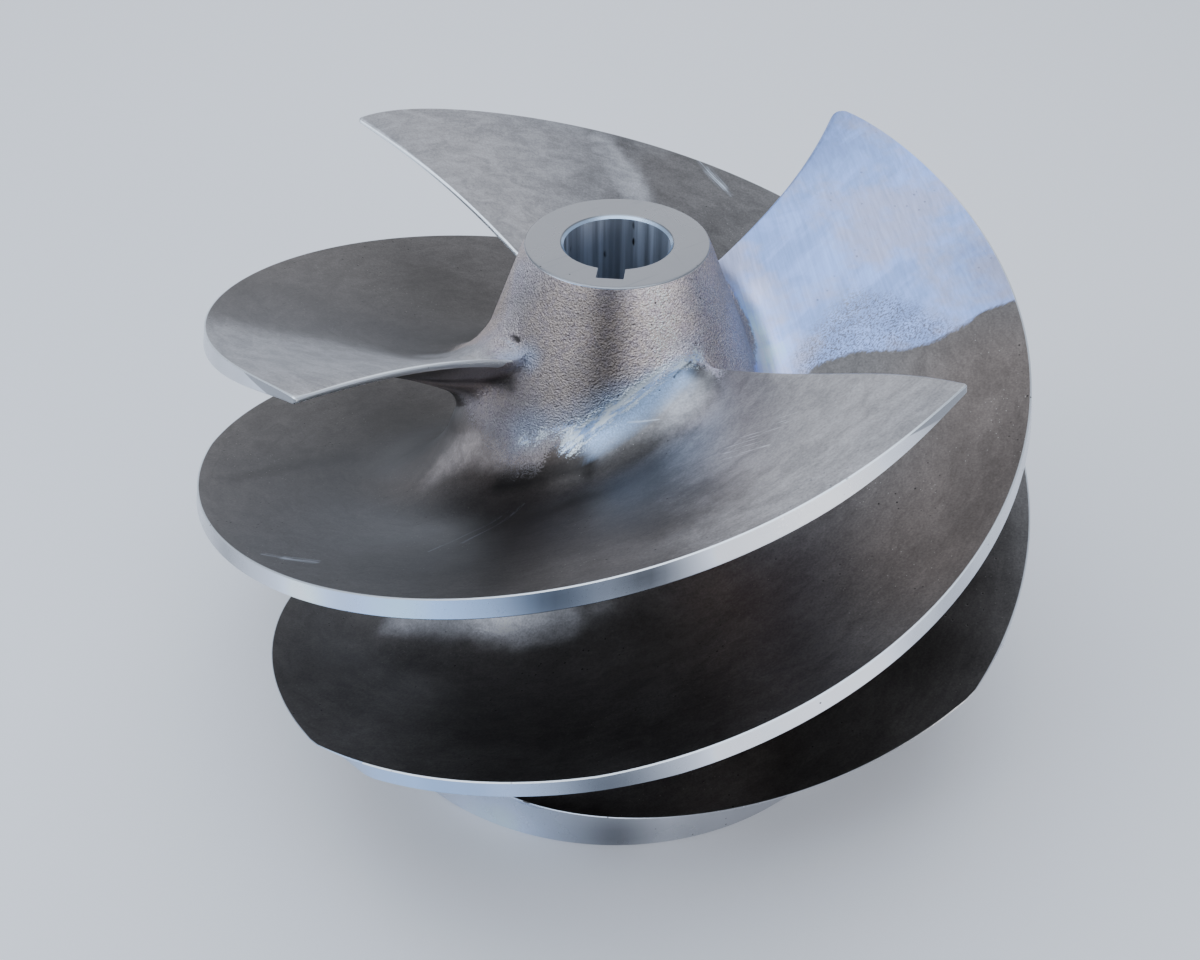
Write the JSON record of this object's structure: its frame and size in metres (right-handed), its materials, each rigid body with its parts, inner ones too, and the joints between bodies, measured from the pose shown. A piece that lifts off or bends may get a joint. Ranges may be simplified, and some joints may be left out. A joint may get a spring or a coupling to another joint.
{
  "type": "mixed-flow pump impeller",
  "caption": "Mixed-flow water pump impeller, cast stainless steel: cone hub with a keyed bore, overlapping helical blades with turned outer edges.",
  "frame": {"origin": "middle of the flat base ring, on the bore's axis", "axes": "+Z along the bore towards the small end of the hub, where the water enters; the keyway points to -Y"},
  "size_m": [0.2162, 0.2162, 0.1351],
  "materials": {
    "cast_stainless": "sand-cast stainless steel, ground satin on the blades, turned bright at the edges, bore and faces"
  },
  "bodies": {
    "root": {"impeller_casting": "cast_stainless"}
  },
  "joints": []
}
